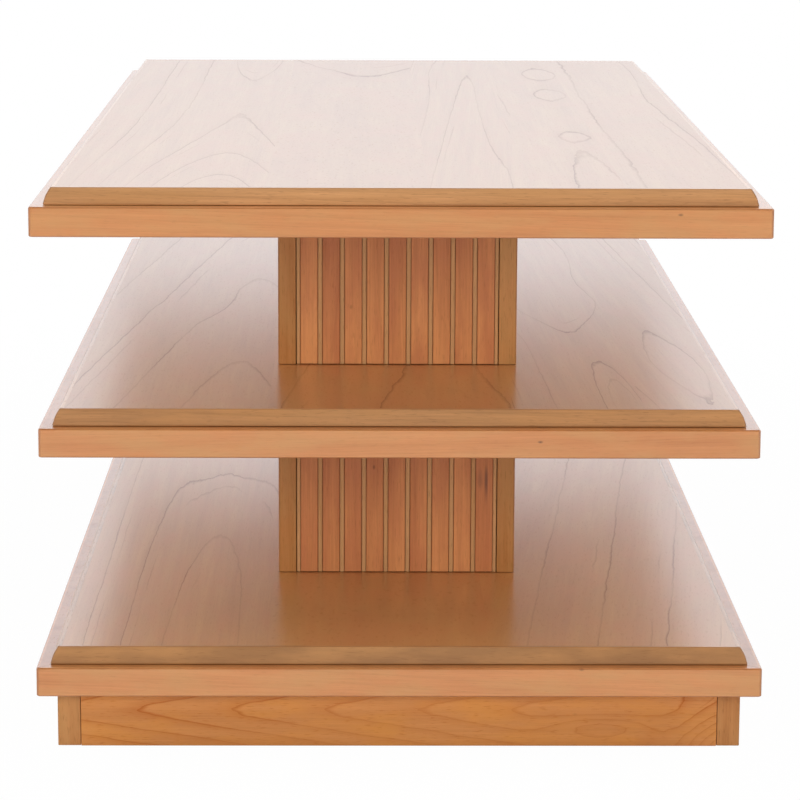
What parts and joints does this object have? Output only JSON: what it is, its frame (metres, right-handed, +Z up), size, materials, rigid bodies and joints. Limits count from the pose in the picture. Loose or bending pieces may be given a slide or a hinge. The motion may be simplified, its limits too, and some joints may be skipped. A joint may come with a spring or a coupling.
{
  "type": "storage coffee table",
  "caption": "Long low wooden table of stacked bevelled shelf tiers on slatted box pedestals and a plinth, with open storage bays on every side.",
  "frame": {"origin": "on the floor under the middle of the table, in the plane of the plinth's underside", "axes": "+Z up, +Y along the table's length away from the front end, +X across its width to the right as seen from the front end"},
  "size_m": [0.6, 1.2, 0.469],
  "materials": {
    "lipping": "orange-tan solid wood, satin lacquer",
    "bevel_strip": "tan solid wood, satin lacquer",
    "veneer": "crown-cut veneer, gloss lacquer",
    "corner_post": "tan solid wood with upright grain, satin lacquer",
    "slatted_board": "orange-pink slats with tan grooves, satin lacquer",
    "plinth_board": "orange-tan wood with level grain, satin lacquer",
    "core_board": "bare board"
  },
  "bodies": {
    "root": {"plinth_corner_post_front_left": "corner_post", "plinth_corner_post_front_right": "corner_post", "plinth_corner_post_back_right": "corner_post", "plinth_corner_post_back_left": "corner_post", "plinth_board_front": "plinth_board", "plinth_board_right": "plinth_board", "plinth_board_back": "plinth_board", "plinth_board_left": "plinth_board", "plinth_cross_rail": "core_board", "lower_core_board": "core_board", "lower_edge_rail_front": "lipping", "lower_edge_rail_right": "lipping", "lower_edge_rail_back": "lipping", "lower_edge_rail_left": "lipping", "lower_bevel_strip_front": "bevel_strip", "lower_bevel_strip_right": "bevel_strip", "lower_bevel_strip_back": "bevel_strip", "lower_bevel_strip_left": "bevel_strip", "lower_veneered_panel": "veneer", "lower_pedestal_post_front_left": "corner_post", "lower_pedestal_post_front_right": "corner_post", "lower_pedestal_post_back_right": "corner_post", "lower_pedestal_post_back_left": "corner_post", "lower_pedestal_slatted_board_front": "slatted_board", "lower_pedestal_slatted_board_right": "slatted_board", "lower_pedestal_slatted_board_back": "slatted_board", "lower_pedestal_slatted_board_left": "slatted_board", "lower_pedestal_fixing_board_foot": "core_board", "lower_pedestal_fixing_board_head": "core_board", "middle_core_board": "core_board", "middle_edge_rail_front": "lipping", "middle_edge_rail_right": "lipping", "middle_edge_rail_back": "lipping", "middle_edge_rail_left": "lipping", "middle_bevel_strip_front": "bevel_strip", "middle_bevel_strip_right": "bevel_strip", "middle_bevel_strip_back": "bevel_strip", "middle_bevel_strip_left": "bevel_strip", "middle_veneered_panel": "veneer", "upper_pedestal_post_front_left": "corner_post", "upper_pedestal_post_front_right": "corner_post", "upper_pedestal_post_back_right": "corner_post", "upper_pedestal_post_back_left": "corner_post", "upper_pedestal_slatted_board_front": "slatted_board", "upper_pedestal_slatted_board_right": "slatted_board", "upper_pedestal_slatted_board_back": "slatted_board", "upper_pedestal_slatted_board_left": "slatted_board", "upper_pedestal_fixing_board_foot": "core_board", "upper_pedestal_fixing_board_head": "core_board", "top_core_board": "core_board", "top_edge_rail_front": "lipping", "top_edge_rail_right": "lipping", "top_edge_rail_back": "lipping", "top_edge_rail_left": "lipping", "top_bevel_strip_front": "bevel_strip", "top_bevel_strip_right": "bevel_strip", "top_bevel_strip_back": "bevel_strip", "top_bevel_strip_left": "bevel_strip", "top_veneered_panel": "veneer"}
  },
  "joints": []
}
